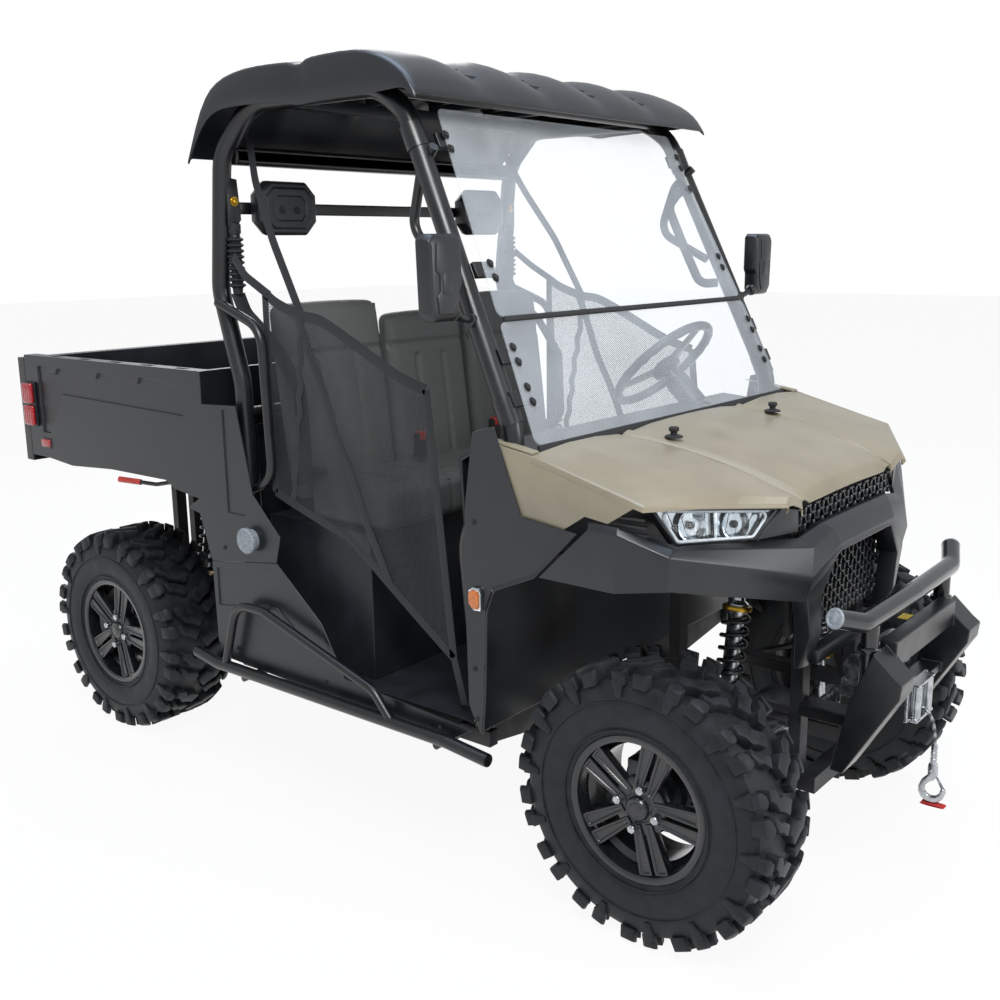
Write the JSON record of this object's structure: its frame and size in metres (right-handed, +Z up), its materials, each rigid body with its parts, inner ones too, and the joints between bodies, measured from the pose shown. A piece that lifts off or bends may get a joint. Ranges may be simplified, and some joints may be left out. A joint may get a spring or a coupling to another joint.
{
  "type": "side by side utility vehicle",
  "caption": "Side by side utility vehicle with a bench cab under a moulded roof, split windshield, side nets, tilting cargo bed, winch bumper and knobbly tyres.",
  "frame": {"origin": "on the ground under the middle of the vehicle's overall box", "axes": "+X to the vehicle's left, +Y to its rear, so it faces -Y, +Z up"},
  "size_m": [1.5278, 2.7922, 1.928],
  "materials": {
    "khaki_panel": "satin khaki moulded bodywork",
    "black_plastic": "matte black moulded plastic",
    "black_tube": "satin black powder coat",
    "gloss_tube": "glossy black powder coat",
    "tyre_rubber": "moulded tyre rubber",
    "wheel_alloy": "satin black cast wheel",
    "chassis_steel": "satin black steel",
    "cast_metal": "raw cast metal",
    "shock_paint": "satin spring and damper body",
    "zinc_steel": "bright steel",
    "clear_pane": "clear polycarbonate",
    "seal_rubber": "matte black rubber",
    "seat_vinyl": "dark grey-green stitched vinyl",
    "lamp_clear": "clear lens over chrome",
    "lamp_red": "red lens",
    "lamp_amber": "amber lens",
    "mesh_fabric": "black webbing and mesh",
    "red_webbing": "red woven strap",
    "grey_plastic": "silver-grey moulded cap"
  },
  "bodies": {
    "chassis": {"belt_retractors": "black_plastic", "bull_bar": "gloss_tube", "dash_panel": "black_plastic", "floor_pan": "black_plastic", "front_differential": "cast_metal", "front_fascia": "black_plastic", "front_fenders": "black_plastic", "fuel_cap": "grey_plastic", "grilles": "black_plastic", "half_shafts": "chassis_steel", "headlamps": "lamp_clear", "headrests": "black_plastic", "hip_bars": "black_tube", "hood_sides": "khaki_panel", "hook_strap": "red_webbing", "main_frame": "chassis_steel", "marker_lamps": "lamp_amber", "mirrors": "black_plastic", "power_unit": "cast_metal", "rear_corner_panels": "black_plastic", "rear_knuckles": "cast_metal", "rocker_panels": "black_plastic", "roll_cage": "black_tube", "roof_panel": "black_plastic", "seat_backs": "seat_vinyl", "seat_base": "black_plastic", "seat_cushions": "seat_vinyl", "shock_absorbers": "shock_paint", "side_nets": "mesh_fabric", "steering_column": "black_plastic", "step_bars": "black_tube", "tow_receiver": "chassis_steel", "winch": "chassis_steel", "winch_bumper": "black_plastic", "winch_hook": "zinc_steel", "winch_rope": "zinc_steel", "windshield_clamps": "black_plastic", "windshield_lower": "clear_pane", "windshield_seal": "seal_rubber", "windshield_upper": "clear_pane", "wishbones": "chassis_steel"},
    "knuckle_left": {"front_left_knuckle": "cast_metal"},
    "knuckle_right": {"front_right_knuckle": "cast_metal"},
    "wheel_front_left": {"front_left_tyre": "tyre_rubber", "front_left_rim": "wheel_alloy"},
    "wheel_front_right": {"front_right_tyre": "tyre_rubber", "front_right_rim": "wheel_alloy"},
    "wheel_rear_left": {"rear_left_tyre": "tyre_rubber", "rear_left_rim": "wheel_alloy"},
    "wheel_rear_right": {"rear_right_tyre": "tyre_rubber", "rear_right_rim": "wheel_alloy"},
    "steering": {"steering_wheel": "black_plastic"},
    "rack": {"tie_rods": "chassis_steel"},
    "bed": {"cargo_bed": "black_plastic", "tail_lamps": "lamp_red", "bed_release_levers": "black_plastic"},
    "gate": {"tailgate": "black_plastic"},
    "bonnet": {"hood_lid": "khaki_panel"}
  },
  "joints": [
    {"name": "steer_left", "type": "hinge", "parent": "chassis", "child": "knuckle_left", "pos_m": [0.428, -0.95, 0.3175], "axis": [0, 0, 1], "range_deg": [-26, 26]},
    {"name": "steer_right", "type": "hinge", "parent": "chassis", "child": "knuckle_right", "pos_m": [-0.428, -0.95, 0.3175], "axis": [0, 0, 1], "range_deg": [-26.5, 26.5]},
    {"name": "rack_slide", "type": "slide", "parent": "chassis", "child": "rack", "axis": [1, 0, 0], "range_m": [-0.0385, 0.0385]},
    {"name": "steering_wheel_turn", "type": "hinge", "parent": "chassis", "child": "steering", "pos_m": [0.358, -0.428, 1.15], "axis": [0, 0.7071, 0.7071], "range_deg": [-262, 262]},
    {"name": "spin_front_left", "type": "hinge", "parent": "knuckle_left", "child": "wheel_front_left", "pos_m": [0.503, -0.95, 0.3175], "axis": [1, 0, 0], "continuous": true},
    {"name": "spin_front_right", "type": "hinge", "parent": "knuckle_right", "child": "wheel_front_right", "pos_m": [-0.503, -0.95, 0.3175], "axis": [1, 0, 0], "continuous": true},
    {"name": "spin_rear_left", "type": "hinge", "parent": "chassis", "child": "wheel_rear_left", "pos_m": [0.495, 0.97, 0.3175], "axis": [1, 0, 0], "continuous": true},
    {"name": "spin_rear_right", "type": "hinge", "parent": "chassis", "child": "wheel_rear_right", "pos_m": [-0.495, 0.97, 0.3175], "axis": [1, 0, 0], "continuous": true},
    {"name": "bed_tilt", "type": "hinge", "parent": "chassis", "child": "bed", "pos_m": [0, 1.224, 0.8347], "axis": [-1, 0, 0], "range_deg": [0, 38]},
    {"name": "tailgate_drop", "type": "hinge", "parent": "bed", "child": "gate", "pos_m": [0, 1.3315, 0.83], "axis": [-1, 0, 0], "range_deg": [0, 90]},
    {"name": "hood_lid_lift", "type": "hinge", "parent": "chassis", "child": "bonnet", "pos_m": [0, -1.14, 0.943], "axis": [1, 0, 0], "range_deg": [0, 50]}
  ],
  "couplings": [
    {"joint": "steer_right", "follows": "steer_left", "ratio": 1},
    {"joint": "rack_slide", "follows": "steer_left", "m_per_rad": 0.0821},
    {"joint": "steering_wheel_turn", "follows": "steer_left", "ratio": 10}
  ]
}
